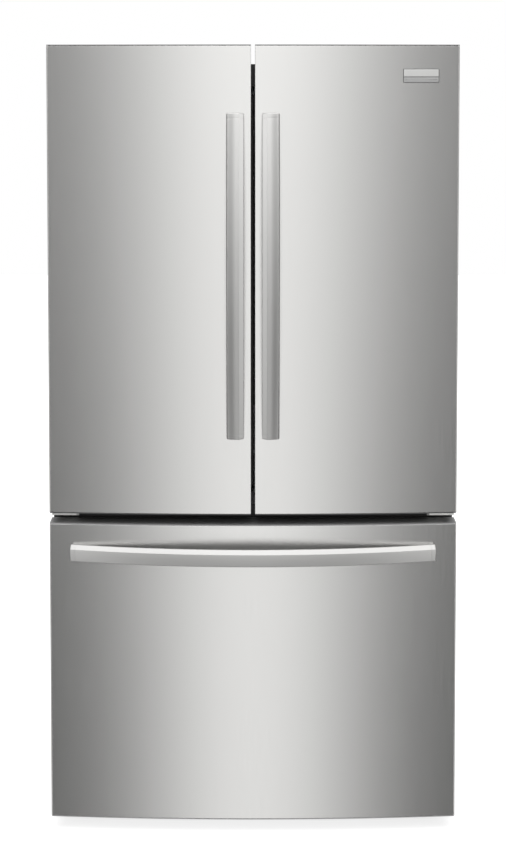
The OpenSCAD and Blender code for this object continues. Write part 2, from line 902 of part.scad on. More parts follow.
module left_door_foam() {
    color([0.93, 0.87, 0.70]) mirror([1, 0, 0]) door_foam();
}

module right_door_liner() {
    color([0.93, 0.94, 0.95]) door_liner();
}

// The left liner also has the two lugs whose pins carry the folding mullion
module left_door_liner() {
    color([0.93, 0.94, 0.95]) {
        mirror([1, 0, 0]) door_liner();
        for (z = [lug_z0, flipper_z1 + 0.5])
            span([pivot_x - 10, door_back, z], [-gasket_in - gasket_w - 0.5, pivot_y + 8, z + lug_t]);
        for (z = [lug_z0 + lug_t - 1, flipper_z1 - 14])
            translate([pivot_x, pivot_y, z]) cylinder(r = pivot_r, h = 15.5, $fn = 48);
    }
}

module right_door_gasket() {
    color([0.12, 0.12, 0.12]) door_gasket();
}

module left_door_gasket() {
    color([0.12, 0.12, 0.12]) mirror([1, 0, 0]) door_gasket();
}

module right_door_caps() {
    color([0.12, 0.12, 0.13]) door_caps();
}

module left_door_caps() {
    color([0.12, 0.12, 0.13]) mirror([1, 0, 0]) door_caps();
}

module right_door_handle() {
    color([0.70, 0.70, 0.69]) door_handle();
}

module left_door_handle() {
    color([0.70, 0.70, 0.69]) mirror([1, 0, 0]) door_handle();
}

// Three bins in the left door
module left_door_bins() {
    color([0.80, 0.88, 0.92, 0.6]) mirror([1, 0, 0]) for (z = bin_z) door_bin(z);
}

// Three bins, the uppermost one closed by the dairy lid
module right_door_bins() {
    color([0.80, 0.88, 0.92, 0.6])
    difference() {
        for (z = bin_z) door_bin(z);
        translate([bin_x0 - 1, dairy_axis[0], dairy_axis[1]])
            rotate([0, 90, 0]) cylinder(r = 3 + run, h = bin_x1 - bin_x0 + 2, $fn = 48);
    }
}

// Lid of the dairy box, turning about an axle that runs through its two ends
module dairy_lid() {
    x0 = bin_x0 + bin_wall + 0.8;
    x1 = bin_x1 - bin_wall - 0.8;
    color([0.80, 0.88, 0.92, 0.6]) {
        span([x0, dairy_axis[0], dairy_axis[1] - 2], [x1, bin_y1 - bin_wall - 1, dairy_axis[1] + 2]);
        translate([bin_x0, dairy_axis[0], dairy_axis[1]])
            rotate([0, 90, 0]) cylinder(r = 3, h = bin_x1 - bin_x0, $fn = 48);
    }
}

// Folding mullion, its far rear edge cut back to pass the other door
module flipper_mullion() {
    color([0.04, 0.04, 0.04])
    difference() {
        span([flipper_x0, flipper_y0, flipper_z0], [flipper_x1, flipper_y1, flipper_z1]);
        translate([0, 0, flipper_z0 - 1])
            linear_extrude(flipper_z1 - flipper_z0 + 2)
                polygon([[flipper_x1 - 9, flipper_y1 + 0.01], [flipper_x1 + 0.01, flipper_y1 - 9],
                         [flipper_x1 + 5, flipper_y1 + 5]]);
        for (z = [flipper_z0 - 1, flipper_z1 - 16])
            translate([pivot_x, pivot_y, z]) cylinder(r = pivot_r + run, h = 17, $fn = 48);
    }
}

// Small plate that follows the curve of the right door
module badge_plate() {
    plate_w = 80;
    plate_h = 31;
    plate_t = 1.5;
    groove_w = 1.5;
    x0 = door_x - 85 - plate_w / 2;
    z0 = door_top - 68 - plate_h / 2;
    groove_z = z0 + 0.42 * plate_h;
    color([0.75, 0.75, 0.74])
    difference() {
        intersection() {
            behind_front(-plate_t);
            span([x0, crown_y - 10, z0], [x0 + plate_w, edge_y + 30, z0 + plate_h]);
        }
        behind_front();
        difference() {
            span([x0 - 1, crown_y - 10, groove_z], [x0 + plate_w + 1, edge_y + 30, groove_z + groove_w]);
            behind_front(-plate_t / 2);
        }
    }
}

// Drawer
module drawer_skin() {
    color([0.72, 0.72, 0.71]) steel_skin(-door_x, door_x, drawer_z, drawer_top);
}

module drawer_foam() {
    color([0.93, 0.87, 0.70])
    door_body(-door_x, door_x, door_back - liner_t, drawer_z + cap_t, drawer_top - cap_t, skin_t);
}

module drawer_caps() {
    color([0.12, 0.12, 0.13]) {
        door_body(-door_x, door_x, door_back, drawer_z, drawer_z + cap_t);
        door_body(-door_x, door_x, door_back, drawer_top - cap_t, drawer_top);
    }
}

module drawer_liner() {
    panel_x = slide_x[2] - 15;
    color([0.93, 0.94, 0.95]) {
        span([-door_x, door_back - liner_t, drawer_z + cap_t], [door_x, door_back, drawer_top - cap_t]);
        span([-panel_x, door_back, freezer_z0 + 30], [panel_x, door_back + 14, freezer_z1 - 20]);
    }
}

module drawer_gasket() {
    color([0.12, 0.12, 0.12]) gasket_ring(-gasket_out, gasket_out, drawer_gasket_z0, drawer_gasket_z1);
}

module drawer_handle() {
    half = door_x - drawer_handle_side;
    end_y = front_cy - sqrt(front_r * front_r - half * half) - handle_end_out;
    rise = end_y - (crown_y - handle_out);
    foot_y = front_cy - sqrt(front_r * front_r - pow(half - foot_in, 2));
    color([0.70, 0.70, 0.69])
    difference() {
        translate([0, 0, drawer_top - drawer_handle_drop]) {
            translate([0, crown_y - handle_out, 0]) arched_bar(2 * half, rise);
            for (s = [-1, 1])
                translate([s * (half - foot_in), foot_y + 10, 0])
                    rotate([90, 0, 0]) cylinder(r = foot_r, h = 28, $fn = 48);
        }
        behind_front();
    }
}

cabinet_shell();
face_frame();
rear_panel();
cabinet_foam();
fridge_liner();
freezer_liner();
base_frame();
toe_grille();
leveling_legs();
top_hinges();
hinge_covers();
center_hinges();
hinge_bushes();
mullion_striker();
compressor();
condenser_coil();
fan_bracket();
machine_cover();
power_inlet();
evaporator_coil();
evaporator_cover();
control_panel();
shelf_tracks();
shelf_frames();
shelf_glass();
crisper_cover();
slides_fixed();
front_rollers();
rear_rollers();
condenser_fan();
evaporator_fan();
crisper_left();
crisper_right();
slides_middle();
upper_basket();
left_door_skin();
left_door_foam();
left_door_liner();
left_door_gasket();
left_door_caps();
left_door_handle();
left_door_bins();
flipper_mullion();
right_door_skin();
right_door_foam();
right_door_liner();
right_door_gasket();
right_door_caps();
right_door_handle();
right_door_bins();
dairy_lid();
badge_plate();
drawer_skin();
drawer_foam();
drawer_liner();
drawer_gasket();
drawer_caps();
drawer_handle();
slide_arms();
lower_basket();
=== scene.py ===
import json
import math

import bmesh
import bpy
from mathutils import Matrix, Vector


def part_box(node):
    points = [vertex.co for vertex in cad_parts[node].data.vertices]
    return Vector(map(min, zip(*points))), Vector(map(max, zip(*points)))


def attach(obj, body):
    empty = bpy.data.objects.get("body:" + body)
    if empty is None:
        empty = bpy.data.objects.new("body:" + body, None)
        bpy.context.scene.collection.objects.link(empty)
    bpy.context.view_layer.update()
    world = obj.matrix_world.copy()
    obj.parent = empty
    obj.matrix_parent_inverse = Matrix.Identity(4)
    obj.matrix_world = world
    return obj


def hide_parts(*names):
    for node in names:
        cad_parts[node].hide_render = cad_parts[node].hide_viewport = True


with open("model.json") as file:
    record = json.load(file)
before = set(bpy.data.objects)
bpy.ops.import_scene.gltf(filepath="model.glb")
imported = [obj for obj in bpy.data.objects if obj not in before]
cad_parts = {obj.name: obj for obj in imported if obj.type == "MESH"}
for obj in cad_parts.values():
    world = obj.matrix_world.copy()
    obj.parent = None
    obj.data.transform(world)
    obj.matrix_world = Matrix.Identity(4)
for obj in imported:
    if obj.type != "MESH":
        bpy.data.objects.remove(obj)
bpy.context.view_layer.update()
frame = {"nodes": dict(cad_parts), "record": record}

# ---------------------------------------------------------------- sizes, in metres
BULGE = 0.024          # how far the middle of the front stands ahead of its outer edges
EDGE_R = 0.003         # folded outer edges of the steel
GAP_EDGE_R = 0.0008    # folded edges on either side of the gap between the doors
FOLD_R = 0.0010        # folded upper and lower edges of the steel
SHEET = 0.001          # thickness of the steel
HANDLE_W, HANDLE_T = 0.0385, 0.016         # section of a handle
HANDLE_CROWN_R, HANDLE_CROWN_U = 0.080, 0.004   # radius of a handle's face, and where its crown lies
HANDLE_OUT, HANDLE_END_OUT = 0.061, 0.018  # how far a handle stands out at its middle and its ends
HANDLE_CAP_L, HANDLE_SEAM = 0.011, 0.0005  # end piece of a handle, and the seam beside it
BEVEL_W, BEVEL_D = 0.010, 0.0030           # bevel along one side of a handle
FOOT_IN, FOOT_R, FOOT_L = 0.022, 0.010, 0.014   # round feet of a handle
HINGE_LEAF_T = 0.007   # what the recess in a door leaves for the top hinge
LINER_T = 0.002        # plastic liners
BIN_WALL = 0.003       # walls of the bins, crispers and baskets
BIN_H = 0.110          # height of the door bins
LIP_D = 0.012          # lip along the front of a crisper
DIKE_W, DIKE_D = 0.016, 0.040      # upright ribs of the door liners


def node_box(node):
    lo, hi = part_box(node)
    return Vector(lo), Vector(hi)


DRAWER = node_box("drawer_skin")
LEFT = node_box("left_door_skin")
RIGHT = node_box("right_door_skin")
HALF_W = DRAWER[1].x
CROWN_Y = DRAWER[0].y
EDGE_Y = CROWN_Y + BULGE
FRONT_R = (HALF_W ** 2 + BULGE ** 2) / (2 * BULGE)
FRONT_CY = CROWN_Y + FRONT_R


def front_y(x, proud=0.0):
    """Depth of the curved front at x, or of a surface that stands proud of it."""
    return FRONT_CY - math.sqrt((FRONT_R + proud) ** 2 - x * x)


# ---------------------------------------------------------------- mesh helpers
def mesh_object(name, bm, material, body, smooth=True):
    mesh = bpy.data.meshes.new(name)
    bmesh.ops.recalc_face_normals(bm, faces=bm.faces)
    bm.to_mesh(mesh)
    bm.free()
    if smooth:
        for p in mesh.polygons:
            p.use_smooth = True
    obj = bpy.data.objects.new(name, mesh)
    bpy.context.scene.collection.objects.link(obj)
    mesh.materials.append(material)
    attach(obj, body)
    return obj


def weigh(obj):
    """Weights the normals by face area."""
    normals = obj.modifiers.new("normals", "WEIGHTED_NORMAL")
    normals.keep_sharp = True


def grid_faces(bm, rows, close_rows=False, close_cols=False):
    """Quads between rows of points, with a map: across runs along a row, up runs from row to row."""
    layer = bm.loops.layers.uv.verify()
    verts = [[bm.verts.new(p) for p in row] for row in rows]
    n_rows, n_cols = len(verts), len(verts[0])
    for i in range(n_rows if close_rows else n_rows - 1):
        for j in range(n_cols if close_cols else n_cols - 1):
            a, b = verts[i], verts[(i + 1) % n_rows]
            face = bm.faces.new((a[j], a[(j + 1) % n_cols], b[(j + 1) % n_cols], b[j]))
            for loop, (u, v) in zip(face.loops, ((j, i), (j + 1, i), (j + 1, i + 1), (j, i + 1))):
                loop[layer].uv = (u / n_cols, v / n_rows)
    return verts


def rounded(points, radii, steps=4):
    """A closed outline with its corners rounded."""
    out = []
    n = len(points)
    for i, (p, r) in enumerate(zip(points, radii)):
        p = Vector(p)
        if r <= 0:
            out.append(p)
            continue
        a, b = Vector(points[i - 1]) - p, Vector(points[(i + 1) % n]) - p
        half = a.angle(b) / 2
        cut = min(r / math.tan(half), a.length * 0.49, b.length * 0.49)
        r = cut * math.tan(half)
        centre = p + (a.normalized() + b.normalized()).normalized() * (r / math.sin(half))
        start, end = p + a.normalized() * cut - centre, p + b.normalized() * cut - centre
        turn = start.angle_signed(end)
        for k in range(steps + 1):
            ang = -turn * k / steps
            out.append(centre + Vector((start.x * math.cos(ang) - start.y * math.sin(ang),
                                        start.x * math.sin(ang) + start.y * math.cos(ang))))
    return out


# ---------------------------------------------------------------- materials
COLOR_DRIFT, ROUGH_DRIFT = 0.015, 0.012    # slight unevenness of every painted, moulded or brushed face
HANDLE_LINES = 1300.0                      # fineness of the handles' grain


def material(name, color, rough=0.5, metal=0.0, **sockets):
    mat = bpy.data.materials.new(name)
    mat.use_nodes = True
    bsdf = mat.node_tree.nodes["Principled BSDF"]
    bsdf.inputs["Base Color"].default_value = (*color, 1.0)
    bsdf.inputs["Roughness"].default_value = rough
    bsdf.inputs["Metallic"].default_value = metal
    for key, value in sockets.items():
        bsdf.inputs[key.replace("_", " ")].default_value = value
    return mat, mat.node_tree, bsdf


def shades(color, spread=COLOR_DRIFT):
    """The same colour a little darker and a little lighter."""
    return [c * (1 - spread) for c in color], [min(1.0, c * (1 + spread)) for c in color]


def add_noise(tree, scale, detail=3.0, stretch=(1, 1, 1)):
    """Noise over the object's own coordinates, stretched along an axis."""
    coords = tree.nodes.new("ShaderNodeTexCoord")
    mapping = tree.nodes.new("ShaderNodeMapping")
    mapping.inputs["Scale"].default_value = stretch
    noise = tree.nodes.new("ShaderNodeTexNoise")
    noise.inputs["Scale"].default_value = scale
    noise.inputs["Detail"].default_value = detail
    tree.links.new(coords.outputs["Object"], mapping.inputs["Vector"])
    tree.links.new(mapping.outputs["Vector"], noise.inputs["Vector"])
    return noise.outputs["Fac"]


def map_range(tree, value, lo, hi, from_lo=0.3, from_hi=0.7):
    node = tree.nodes.new("ShaderNodeMapRange")
    node.inputs["From Min"].default_value = from_lo
    node.inputs["From Max"].default_value = from_hi
    node.inputs["To Min"].default_value = lo
    node.inputs["To Max"].default_value = hi
    tree.links.new(value, node.inputs["Value"])
    return node.outputs["Result"]


def add_bump(tree, bsdf, height, strength, distance):
    bump = tree.nodes.new("ShaderNodeBump")
    bump.inputs["Strength"].default_value = strength
    bump.inputs["Distance"].default_value = distance
    tree.links.new(height, bump.inputs["Height"])
    tree.links.new(bump.outputs["Normal"], bsdf.inputs["Normal"])


def tint(tree, bsdf, fac, dark, light):
    """Colour that drifts between two shades."""
    mix = tree.nodes.new("ShaderNodeMix")
    mix.data_type = "RGBA"
    mix.inputs["A"].default_value = (*dark, 1.0)
    mix.inputs["B"].default_value = (*light, 1.0)
    tree.links.new(fac, mix.inputs["Factor"])
    tree.links.new(mix.outputs["Result"], bsdf.inputs["Base Color"])


def brushed(name, color, rough, along, lines=900.0, spread=0.0):
    """Steel with fine grain along one axis (0, 1 or 2); spread draws its sheen out across the grain."""
    mat, tree, bsdf = material(name, color, rough, 1.0, Anisotropic=spread)
    if spread:
        tangent = tree.nodes.new("ShaderNodeTangent")
        tangent.direction_type = "UV_MAP"
        tree.links.new(tangent.outputs["Tangent"], bsdf.inputs["Tangent"])
    stretch = [1.0, 1.0, 1.0]
    stretch[along] = 0.012
    grain = add_noise(tree, lines, 4.0, stretch)
    drawn = map_range(tree, grain, rough - ROUGH_DRIFT, rough + ROUGH_DRIFT)
    tree.links.new(drawn, bsdf.inputs["Roughness"])
    add_bump(tree, bsdf, grain, 0.05, 0.00003)
    tint(tree, bsdf, grain, *shades(color))
    return mat


def moulded(name, color, rough=0.45, grain=2500.0, depth=0.00004, **sockets):
    """Plastic or paint with a fine grain and a slight drift of its colour."""
    mat, tree, bsdf = material(name, color, rough, **sockets)
    fine = add_noise(tree, grain, 2.0)
    add_bump(tree, bsdf, fine, 0.35, depth)
    drift = add_noise(tree, 6.0, 3.0)
    tint(tree, bsdf, drift, *shades(color))
    uneven = map_range(tree, drift, rough - ROUGH_DRIFT, rough + ROUGH_DRIFT)
    tree.links.new(uneven, bsdf.inputs["Roughness"])
    return mat


def plated(name, color, rough=0.3, scale=160.0):
    """Zinc-coated or bare metal with faint spangle."""
    mat, tree, bsdf = material(name, color, rough, 1.0)
    cells = tree.nodes.new("ShaderNodeTexVoronoi")
    cells.inputs["Scale"].default_value = scale
    coords = tree.nodes.new("ShaderNodeTexCoord")
    tree.links.new(coords.outputs["Object"], cells.inputs["Vector"])
    dark, light = [c * 0.88 for c in color], [min(1.0, c * 1.06) for c in color]
    tint(tree, bsdf, cells.outputs["Color"], dark, light)
    drift = add_noise(tree, 25.0, 4.0)
    tree.links.new(map_range(tree, drift, rough - 0.06, rough + 0.10), bsdf.inputs["Roughness"])
    return mat


def clear(name, color, rough):
    """Tinted see-through plastic or glass."""
    mat, tree, bsdf = material(name, color, rough, 0.0, Transmission_Weight=0.9, IOR=1.45)
    drift = add_noise(tree, 12.0, 2.0)
    tree.links.new(map_range(tree, drift, rough * 0.7, rough * 1.5), bsdf.inputs["Roughness"])
    tint(tree, bsdf, drift, [c * 0.97 for c in color], color)
    return mat


STEEL = brushed("stainless", (0.66, 0.658, 0.650), 0.25, 2)
DRAWER_STEEL = brushed("stainless_drawer", (0.66, 0.658, 0.650), 0.25, 2)
HANDLE_UP = brushed("handle_steel_upright", (0.53, 0.528, 0.522), 0.30, 2, HANDLE_LINES, 0.60)
HANDLE_LEVEL = brushed("handle_steel_level", (0.54, 0.538, 0.532), 0.46, 0, HANDLE_LINES)
# A rougher copy of the handle steel, painted darker, for the bars' sides, backs and ends: painted shade
HANDLE_PAINTED_SHADE = brushed("handle_steel_painted_shade", (0.40, 0.398, 0.394), 0.42, 2, HANDLE_LINES)
BADGE = moulded("badge_bright", (0.50, 0.50, 0.495), 0.35, 1500.0, 0.00002, Metallic=0.35)
BADGE_GREY = moulded("badge_grey", (0.33, 0.33, 0.33), 0.40, 1500.0, 0.00002, Metallic=0.35)
BADGE_DARK = moulded("badge_dark", (0.12, 0.12, 0.12), 0.45, 1500.0, 0.00002, Metallic=0.35)
CAP = moulded("cap_plastic", (0.045, 0.045, 0.046), 0.42)
# A lighter copy of the cap plastic for the drawer's caps: painted light standing in for light falling on their
# tops
DRAWER_CAP_PAINTED_LIGHT = moulded("drawer_cap_painted_light", (0.230, 0.230, 0.231), 0.42)
CASE_PAINT = moulded("case_paint", (0.040, 0.040, 0.042), 0.48, 1400.0, 0.00012)
FRAME_PAINT = moulded("frame_paint", (0.012, 0.012, 0.012), 0.40)
BLACK = moulded("black_plastic", (0.014, 0.014, 0.015), 0.45)
GREY = moulded("grey_plastic", (0.17, 0.17, 0.175), 0.50)
ENAMEL = moulded("black_enamel", (0.010, 0.010, 0.011), 0.22, 60.0, 0.0001)
WHITE = moulded("liner_white", (0.80, 0.815, 0.825), 0.28, 900.0, 0.00003)
TRIM = moulded("shelf_trim", (0.70, 0.73, 0.76), 0.25, 900.0, 0.00003)
BASKET = moulded("basket_white", (0.78, 0.81, 0.84), 0.30, 900.0, 0.00003)
NYLON = moulded("roller_nylon", (0.045, 0.045, 0.045), 0.55)
RUBBER = moulded("gasket_rubber", (0.055, 0.055, 0.056), 0.62, 1200.0, 0.00006)
FOAM = moulded("foam", (0.78, 0.66, 0.40), 0.85, 500.0, 0.0006)
GALVANISED = plated("galvanised", (0.55, 0.56, 0.57), 0.38, 90.0)
ZINC = plated("zinc_plate", (0.56, 0.56, 0.55), 0.30, 260.0)
SLIDE = plated("slide_steel", (0.62, 0.63, 0.64), 0.25, 300.0)
ALUMINIUM = plated("coil_aluminium", (0.74, 0.745, 0.75), 0.30, 220.0)
CLEAR = clear("clear_plastic", (0.86, 0.93, 0.96), 0.10)
GLASS = clear("shelf_glass", (0.86, 0.95, 0.93), 0.02)

CAD_MATERIALS = {
    "case_paint": CASE_PAINT, "frame_paint": FRAME_PAINT, "galvanised": GALVANISED, "zinc_plate": ZINC,
    "foam": FOAM, "liner_white": WHITE, "gasket_rubber": RUBBER, "clear_plastic": CLEAR,
    "shelf_trim": TRIM, "shelf_glass": GLASS, "basket_white": BASKET, "black_plastic": BLACK,
    "grey_plastic": GREY, "black_enamel": ENAMEL, "coil_aluminium": ALUMINIUM, "slide_steel": SLIDE,
    "roller_plastic": NYLON, "badge_metal": BADGE, "cap_plastic": CAP, "stainless": STEEL,
    "handle_steel": HANDLE_UP,
}
# Nodes whose finish isn't the one their slot gives; the drawer's caps get a lighter copy of the cap plastic,
# painted light where light falls on their tops
NODE_MATERIALS = {"drawer_caps": DRAWER_CAP_PAINTED_LIGHT, "mullion_striker": GREY}


def dress_cad_nodes():
    """Gives every carried-over CAD node its own finish and softly rounded edges."""
    slots = {s["node"]: s["material_slot"] for s in frame["record"]["subparts"]}
    for name, obj in frame["nodes"].items():
        obj.data.materials.clear()
        obj.data.materials.append(NODE_MATERIALS.get(name, CAD_MATERIALS[slots[name]]))
        bevel = obj.modifiers.new("bevel", "BEVEL")
        bevel.width = 0.0007
        bevel.segments = 2
        bevel.limit_method = "ANGLE"
        bevel.angle_limit = math.radians(40)


# ---------------------------------------------------------------- doors and drawer
def plan_outline(x0, x1, y_back, y_cut, steps=56):
    """Outline of a door seen from above, with outward normals: side, front arc, side."""
    def edge_r(side_x):
        return EDGE_R if abs(side_x) > HALF_W / 2 else GAP_EDGE_R

    points = [((x0, y_back), (-1.0, 0.0)), ((x0, y_cut), (-1.0, 0.0))]
    for side_x, direction in ((x0, -1), (x1, 1)):
        r = edge_r(side_x)
        cx = side_x - direction * r
        cy = FRONT_CY - math.sqrt((FRONT_R - r) ** 2 - cx * cx)
        side_a = math.pi if direction < 0 else 0.0
        front_a = math.atan2(cy - FRONT_CY, cx)
        if direction < 0:
            front_a += 2 * math.pi
        arc = []
        for k in range(9):
            a = side_a + (front_a - side_a) * k / 8
            n = (math.cos(a), math.sin(a))
            arc.append(((cx + r * n[0], cy + r * n[1]), n))
        if direction < 0:
            points += arc
            start = arc[-1][0][0]
        else:
            end = arc[-1][0][0]
            for k in range(1, steps):
                x = start + (end - start) * k / steps
                y = front_y(x)
                points.append(((x, y), (x / FRONT_R, (y - FRONT_CY) / FRONT_R)))
            points += arc[::-1]
    points += [((x1, y_cut), (1.0, 0.0)), ((x1, y_back), (1.0, 0.0))]
    return points


def fold_rows(z0, z1, flange=0.0025, steps=4):
    """Inset and height along a section of the sheet: upper fold, face, lower fold."""
    rows = [(flange, z1)]
    for k in range(steps + 1):
        a = math.pi / 2 * k / steps
        rows.append((FOLD_R * (1 - math.sin(a)), z1 - FOLD_R * (1 - math.cos(a))))
    lower = [(d, z0 + (z1 - z)) for d, z in rows]
    return rows + lower[::-1]


def steel_skin(name, cad, x0, x1, mat, body, notch=None):
    """The folded steel sheet; notch is the side, depth and height from which the hinge recess is cut."""
    lo, hi = node_box(cad)
    outline = plan_outline(x0, x1, hi.y, notch[1] if notch else EDGE_Y + 0.02, 90 if x1 - x0 > 0.6 else 56)
    rows = []
    sections = fold_rows(lo.z, hi.z)
    if notch:
        at = next(i for i, (_, z) in enumerate(sections) if z < notch[2])
        sections.insert(at, (0.0, notch[2]))
    for inset, z in sections:
        rows.append([(p[0] - n[0] * inset, p[1] - n[1] * inset, z) for p, n in outline])
    bm = bmesh.new()
    grid_faces(bm, rows)
    if notch:
        gone = [f for f in bm.faces if all(v.co.z >= notch[2] - 1e-6 and abs(v.co.x) >= notch[0] - 1e-6
                                           and v.co.y >= notch[1] - 1e-6 for v in f.verts)]
        bmesh.ops.delete(bm, geom=gone, context="FACES")
    obj = mesh_object(name, bm, mat, body)
    solid = obj.modifiers.new("sheet", "SOLIDIFY")
    solid.thickness = SHEET
    solid.offset = -1
    weigh(obj)
    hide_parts(cad)
    return obj


def build_skins():
    hinge_lo, hinge_hi = node_box("top_hinges")
    recess = (HALF_W - 0.02, hinge_lo.y - 0.016, hinge_hi.z - HINGE_LEAF_T)
    steel_skin("left_door_steel", "left_door_skin", LEFT[0].x, LEFT[1].x, STEEL, "left_door", recess)
    steel_skin("right_door_steel", "right_door_skin", RIGHT[0].x, RIGHT[1].x, STEEL, "right_door", recess)
    steel_skin("drawer_steel", "drawer_skin", DRAWER[0].x, DRAWER[1].x, DRAWER_STEEL, "drawer")


# ---------------------------------------------------------------- handles
def handle_section():
    """Closed section of a handle: across, out. The bevel is on the positive side."""
    half = HANDLE_W / 2
    face_w = HANDLE_W - BEVEL_W - 0.003
    face = []
    for k in range(9):
        u = half - BEVEL_W - k / 8 * face_w
        face.append((u, HANDLE_T - (u - HANDLE_CROWN_U) ** 2 / (2 * HANDLE_CROWN_R)))
    points = [(-half + 0.005, 0), (half - 0.005, 0), (half, 0.005), (half, HANDLE_T - BEVEL_D - 0.0022)]
    radii = [0.002, 0.002, 0.002, 0.0012]
    points += face + [(-half, HANDLE_T - 0.0055)]
    radii += [0.0006] + [0] * (len(face) - 2) + [0.0025, 0.0022]
    return rounded(points, radii)


def arched_bar(name, length, rise, place, mat, body):
    """A bar bent to an arc; place turns (along, out, across) into a point."""
    r = (length ** 2 / 4 + rise ** 2) / (2 * rise)
    half_a = math.asin(length / 2 / r)
    section = handle_section()
    # Stations along the bar, each with its inset: the rounded end, the seam, then the plain bar
    ends = [(0.0, 0.0011), (0.0003, 0.0006), (0.0009, 0.0002), (0.0018, 0.0)]
    seam_end = HANDLE_CAP_L + HANDLE_SEAM
    first = ends + [(HANDLE_CAP_L, 0.0), (HANDLE_CAP_L + 0.0001, 0.0005),
                    (seam_end, 0.0005), (seam_end + 0.0001, 0.0)]
    arc_len = 2 * half_a * r
    plain, n = arc_len - 2 * HANDLE_CAP_L - 0.008, 64
    along = first + [(HANDLE_CAP_L + 0.004 + plain * k / n, 0.0) for k in range(n + 1)]
    along += [(arc_len - s, d) for s, d in reversed(first)]
    rows = []
    for s, inset in along:
        a = -half_a + s / r
        row = []
        for p in section:
            u = p.x * (1 - inset / (HANDLE_W / 2))
            v = HANDLE_T / 2 + (p.y - HANDLE_T / 2) * (1 - inset / (HANDLE_T / 2))
            radius = r - HANDLE_T + v
            row.append(place(radius * math.sin(a), r - radius * math.cos(a), u))
        rows.append(row)
    bm = bmesh.new()
    verts = grid_faces(bm, rows, close_cols=True)
    # The sides, the back and the ends of the bar are rougher than its face and painted darker: painted shade,
    # which darkens their reflection in the steel and dims the highlight on the ends
    edges = [(p, section[(i + 1) % len(section)]) for i, p in enumerate(section)]
    shade_painted_faces = [abs(q.x - p.x) < abs(q.y - p.y) or max(p.y, q.y) < 0.006 for p, q in edges]
    bm.faces.ensure_lookup_table()
    strips = len(bm.faces) // len(section)
    for i, face in enumerate(bm.faces):
        at_end = not len(ends) - 1 <= i // len(section) <= strips - len(ends)
        face.material_index = 1 if at_end or shade_painted_faces[i % len(section)] else 0
    for end in (verts[0], verts[-1][::-1]):
        bm.faces.new(end).material_index = 1
    obj = mesh_object(name, bm, mat, body)
    obj.data.materials.append(HANDLE_PAINTED_SHADE)
    weigh(obj)
    return obj


def handle_foot(name, centre, mat, body):
    """A short round foot that stands out of the front."""
    bm = bmesh.new()
    rings = [(FOOT_R + 0.0015, 0.0), (FOOT_R + 0.0015, 0.0012), (FOOT_R, 0.0024), (FOOT_R, FOOT_L)]
    rows = []
    for rr, d in rings:
        rows.append([(centre[0] + rr * math.cos(a), centre[1] - d, centre[2] + rr * math.sin(a))
                     for a in [2 * math.pi * k / 40 for k in range(40)]])
    verts = grid_faces(bm, rows, close_cols=True)
    bm.faces.new(verts[0])
    bm.faces.new(verts[-1][::-1])
    obj = mesh_object(name, bm, mat, body)
    weigh(obj)
    return obj


def build_handles():
    for side, sign in (("left", -1), ("right", 1)):
        lo, hi = node_box(side + "_door_handle")
        middle, x = (lo.z + hi.z) / 2, (lo.x + hi.x) / 2
        length = hi.z - lo.z

        def place(along, out, across, x=x, middle=middle, sign=sign, y=lo.y):
            return (x - sign * across, y + out, middle + along)

        bar = arched_bar(side + "_handle_bar", length, HANDLE_OUT - HANDLE_END_OUT, place, HANDLE_UP,
                         side + "_door")
        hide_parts(side + "_door_handle")
        for end in (-1, 1):
            z = middle + end * (length / 2 - FOOT_IN)
            handle_foot("%s_handle_foot_%s" % (side, "upper" if end > 0 else "lower"),
                        (x, front_y(x), z), HANDLE_UP, side + "_door")
    lo, hi = node_box("drawer_handle")
    length = hi.x - lo.x
    rise = front_y(length / 2) - HANDLE_END_OUT - lo.y
    z = (lo.z + hi.z) / 2
    bar = arched_bar("drawer_handle_bar", length, rise,
                     lambda along, out, across: (along, lo.y + out, z + across), HANDLE_LEVEL, "drawer")
    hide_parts("drawer_handle")
    for end in (-1, 1):
        x = end * (length / 2 - FOOT_IN)
        handle_foot("drawer_handle_foot_%s" % ("right" if end > 0 else "left"),
                    (x, front_y(x), z), HANDLE_LEVEL, "drawer")


# ---------------------------------------------------------------- badge
def curved_plate(name, x0, x1, z0, z1, back, front, round_r, mat, body):
    """A thin plate that follows the front's curve between two distances proud of it."""
    corners = rounded([(x0, z0), (x1, z0), (x1, z1), (x0, z1)], [round_r] * 4)
    middle = Vector(((x0 + x1) / 2, (z0 + z1) / 2))
    rim = 0.0004
    bm = bmesh.new()
    rows = []
    for shrink, proud in ((0.0, back), (0.0, front - rim), (rim, front), (0.003, front), (0.006, front)):
        row = []
        for p in corners:
            away = Vector(p) - middle
            x = middle.x + away.x * (1 - shrink / ((x1 - x0) / 2))
            z = middle.y + away.y * (1 - shrink / ((z1 - z0) / 2))
            row.append((x, front_y(x, proud), z))
        rows.append(row)
    verts = grid_faces(bm, rows, close_cols=True)
    bm.faces.new(verts[0])
    bm.faces.new(verts[-1][::-1])
    obj = mesh_object(name, bm, mat, body)
    weigh(obj)
    return obj


def build_badge():
    """The plate on the right door, left blank: a dark rim round a light field over a grey one."""
    lo, hi = node_box("badge_plate")
    edge, divide = 0.0016, lo.z + 0.42 * (hi.z - lo.z)
    rim = curved_plate("badge_rim", lo.x, hi.x, lo.z, hi.z, 0.0, 0.0009, 0.0015, BADGE_DARK, "right_door")
    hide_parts("badge_plate")
    curved_plate("badge_upper_field", lo.x + edge, hi.x - edge, divide + 0.0008, hi.z - edge, 0.0005, 0.0014,
                 0.0008, BADGE, "right_door")
    curved_plate("badge_lower_field", lo.x + edge, hi.x - edge, lo.z + edge, divide - 0.0008, 0.0005, 0.0012,
                 0.0008, BADGE_GREY, "right_door")


